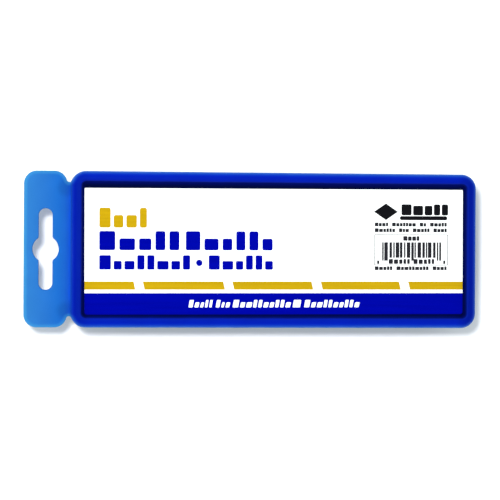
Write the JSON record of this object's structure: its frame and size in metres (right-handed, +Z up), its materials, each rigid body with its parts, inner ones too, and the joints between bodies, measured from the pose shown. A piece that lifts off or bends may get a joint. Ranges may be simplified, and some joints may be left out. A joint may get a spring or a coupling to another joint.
{
  "type": "board eraser",
  "caption": "Long felt board eraser in a rounded blue moulded case with a recessed printed label and a fold-down hang tab at one end.",
  "frame": {"origin": "centre of the wiping face, on the surface that the eraser rests on", "axes": "+X along the eraser away from the hang tab, +Y across it towards the long side opposite the label's blue band, +Z up through the label"},
  "size_m": [0.169, 0.0582, 0.028],
  "materials": {
    "case_plastic": "moulded deep blue polyethylene, satin, slightly translucent at thin edges",
    "tab_plastic": "the same blue polyethylene, thin enough to look lighter and translucent",
    "label_paper": "coated white paper with a deep blue band and a gold dashed stripe",
    "backing_board": "grey-brown pressed board",
    "felt_glue": "hot-melt glue film, amber, satin",
    "felt_dark": "charcoal pressed wool felt, cut edges down",
    "felt_light": "pale grey pressed wool felt, cut edges down"
  },
  "bodies": {
    "eraser": {"case": "case_plastic", "label": "label_paper", "backing_board": "backing_board", "felt_glue": "felt_glue", "felt_strip_01": "felt_dark", "felt_strip_02": "felt_light", "felt_strip_03": "felt_dark", "felt_strip_04": "felt_light", "felt_strip_05": "felt_dark", "felt_strip_06": "felt_light", "felt_strip_07": "felt_dark", "felt_strip_08": "felt_light", "felt_strip_09": "felt_dark", "felt_strip_10": "felt_light", "felt_strip_11": "felt_dark"},
    "tab": {"hang_tab": "tab_plastic"}
  },
  "joints": [
    {"name": "hang_tab_fold", "type": "hinge", "parent": "eraser", "child": "tab", "pos_m": [-0.0773, 0, 0.0225], "axis": [0, 1, 0], "range_deg": [-90, 90], "stiffness_Nm_per_rad": 0.05}
  ]
}
